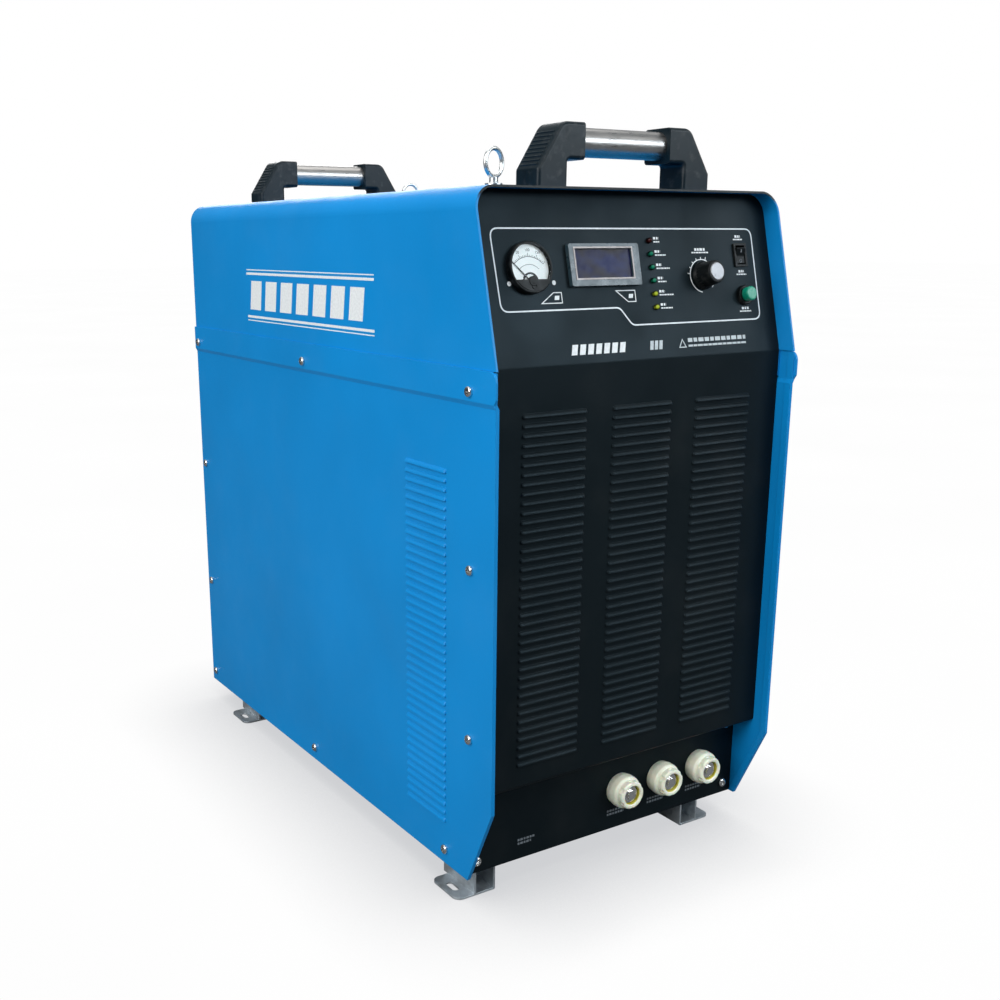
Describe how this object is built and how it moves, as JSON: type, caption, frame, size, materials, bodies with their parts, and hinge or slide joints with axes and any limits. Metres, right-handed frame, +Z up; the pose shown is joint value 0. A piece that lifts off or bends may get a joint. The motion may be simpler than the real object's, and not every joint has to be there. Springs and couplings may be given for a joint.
{
  "type": "plasma cutter unit",
  "caption": "Upright inverter power source in a louvred sheet-metal case with a leaning control panel, carrying handles, lifting eyes, slotted feet and insulated output terminals.",
  "frame": {"origin": "middle of the width and of the overall depth, at the soles of the feet", "axes": "+X to the right of somebody facing the controls, +Y from the controls to the rear, +Z up"},
  "size_m": [0.3606, 0.6934, 0.705],
  "materials": {
    "blue_powder_coat": "fine-texture powder coat, satin",
    "black_powder_coat": "fine-texture powder coat, satin",
    "zinc_plated_sheet": "bright zinc plate",
    "plated_fasteners": "bright nickel plate",
    "eye_steel": "zinc plate, lightly tarnished",
    "handle_plastic": "moulded, fine grain",
    "grip_tube": "polished tube",
    "black_moulding": "semi-gloss moulding",
    "display_moulding": "moulded, fine grain",
    "clear_window": "clear polished",
    "dark_window": "tinted, polished",
    "dial_white": "printed card",
    "needle_black": "matt",
    "zero_screw_black": "semi-gloss moulding",
    "red_lens": "translucent lens",
    "green_lens": "translucent lens",
    "yellow_lens": "translucent lens",
    "knob_metal": "spun, bright",
    "shaft_metal": "turned",
    "button_green": "semi-gloss moulding",
    "cream_insulator": "moulded, semi-gloss",
    "brass_parts": "turned",
    "guard_wire": "bright wire",
    "breaker_grey": "moulded",
    "breaker_lever_black": "moulded",
    "valve_coil": "moulded coil",
    "gas_tube": "black hose",
    "sink_aluminium": "extruded",
    "module_plastic": "moulded",
    "capacitor_sleeve": "shrink sleeve",
    "core_ferrite": "dark laminations",
    "coil_tape": "varnished tape",
    "board_green": "solder resist"
  },
  "bodies": {
    "enclosure": {"ammeter_case": "black_moulding", "ammeter_dial": "dial_white", "ammeter_window": "clear_window", "base_pan": "zinc_plated_sheet", "breaker_body": "breaker_grey", "bus_capacitors": "capacitor_sleeve", "button_housing": "black_moulding", "cable_gland": "black_moulding", "control_board": "board_green", "display_case": "display_moulding", "display_window": "dark_window", "earth_stud": "brass_parts", "fan_frames": "black_moulding", "fan_guards": "guard_wire", "fan_screws": "plated_fasteners", "foot_bolts_and_nuts": "plated_fasteners", "foot_brackets": "zinc_plated_sheet", "front_panel": "black_powder_coat", "gas_hose": "gas_tube", "gas_inlet_fitting": "brass_parts", "green_lamps": "green_lens", "handle_bolts": "plated_fasteners", "handle_ends": "handle_plastic", "handle_grip_tubes": "grip_tube", "heat_sinks": "sink_aluminium", "ignition_coil": "coil_tape", "left_side_panel": "blue_powder_coat", "lifting_eyes_and_nuts": "eye_steel", "mid_shelf": "zinc_plated_sheet", "output_busbars": "brass_parts", "potentiometer_and_nut": "black_moulding", "power_modules": "module_plastic", "reactor_coil": "coil_tape", "reactor_core": "core_ferrite", "rear_panel": "black_powder_coat", "red_lamp": "red_lens", "right_side_panel": "blue_powder_coat", "rocker_housing": "black_moulding", "side_screws": "plated_fasteners", "solenoid_valve": "valve_coil", "terminal_insulators": "cream_insulator", "terminal_nuts": "brass_parts", "terminal_panel": "black_powder_coat", "terminal_panel_screws": "plated_fasteners", "terminal_studs": "brass_parts", "top_hood": "blue_powder_coat", "transformer_coil": "coil_tape", "transformer_core": "core_ferrite", "upper_frame_rails": "zinc_plated_sheet", "yellow_lamps": "yellow_lens"},
    "needle": {"ammeter_needle": "needle_black"},
    "zero_adjuster": {"ammeter_zero_screw": "zero_screw_black"},
    "current_control": {"control_shaft": "shaft_metal", "current_knob": "black_moulding", "knob_cap": "knob_metal"},
    "rocker": {"rocker_paddle": "black_moulding"},
    "push_button": {"button_cap": "button_green"},
    "lower_rotor": {"lower_fan_rotor": "black_moulding"},
    "upper_rotor": {"upper_fan_rotor": "black_moulding"},
    "supply_lever": {"breaker_lever": "breaker_lever_black"}
  },
  "joints": [
    {"name": "needle_swing", "type": "hinge", "parent": "enclosure", "child": "needle", "pos_m": [-0.1175, -0.30947, 0.57199], "axis": [0, -0.9717, 0.2364], "range_deg": [-90, 0]},
    {"name": "zero_adjuster_turn", "type": "hinge", "parent": "enclosure", "child": "zero_adjuster", "pos_m": [-0.1175, -0.31046, 0.56791], "axis": [0, -0.9717, 0.2364], "range_deg": [-45, 45]},
    {"name": "current_control_turn", "type": "hinge", "parent": "enclosure", "child": "current_control", "pos_m": [0.0827, -0.3089, 0.57432], "axis": [0, -0.9717, 0.2364], "range_deg": [-270, 0]},
    {"name": "rocker_tip", "type": "hinge", "parent": "enclosure", "child": "rocker", "pos_m": [0.1335, -0.30256, 0.59192], "axis": [1, 0, 0], "range_deg": [-24, 0]},
    {"name": "push_button_press", "type": "slide", "parent": "enclosure", "child": "push_button", "axis": [0, 0.9717, -0.2364], "range_m": [0, 0.003]},
    {"name": "lower_fan_spin", "type": "hinge", "parent": "enclosure", "child": "lower_rotor", "pos_m": [-0.07, 0.29575, 0.136], "axis": [0, 1, 0], "continuous": true},
    {"name": "upper_fan_spin", "type": "hinge", "parent": "enclosure", "child": "upper_rotor", "pos_m": [-0.07, 0.29575, 0.311], "axis": [0, 1, 0], "continuous": true},
    {"name": "supply_lever_throw", "type": "hinge", "parent": "enclosure", "child": "supply_lever", "pos_m": [0.1, 0.31675, 0.561], "axis": [1, 0, 0], "range_deg": [0, 50]}
  ]
}
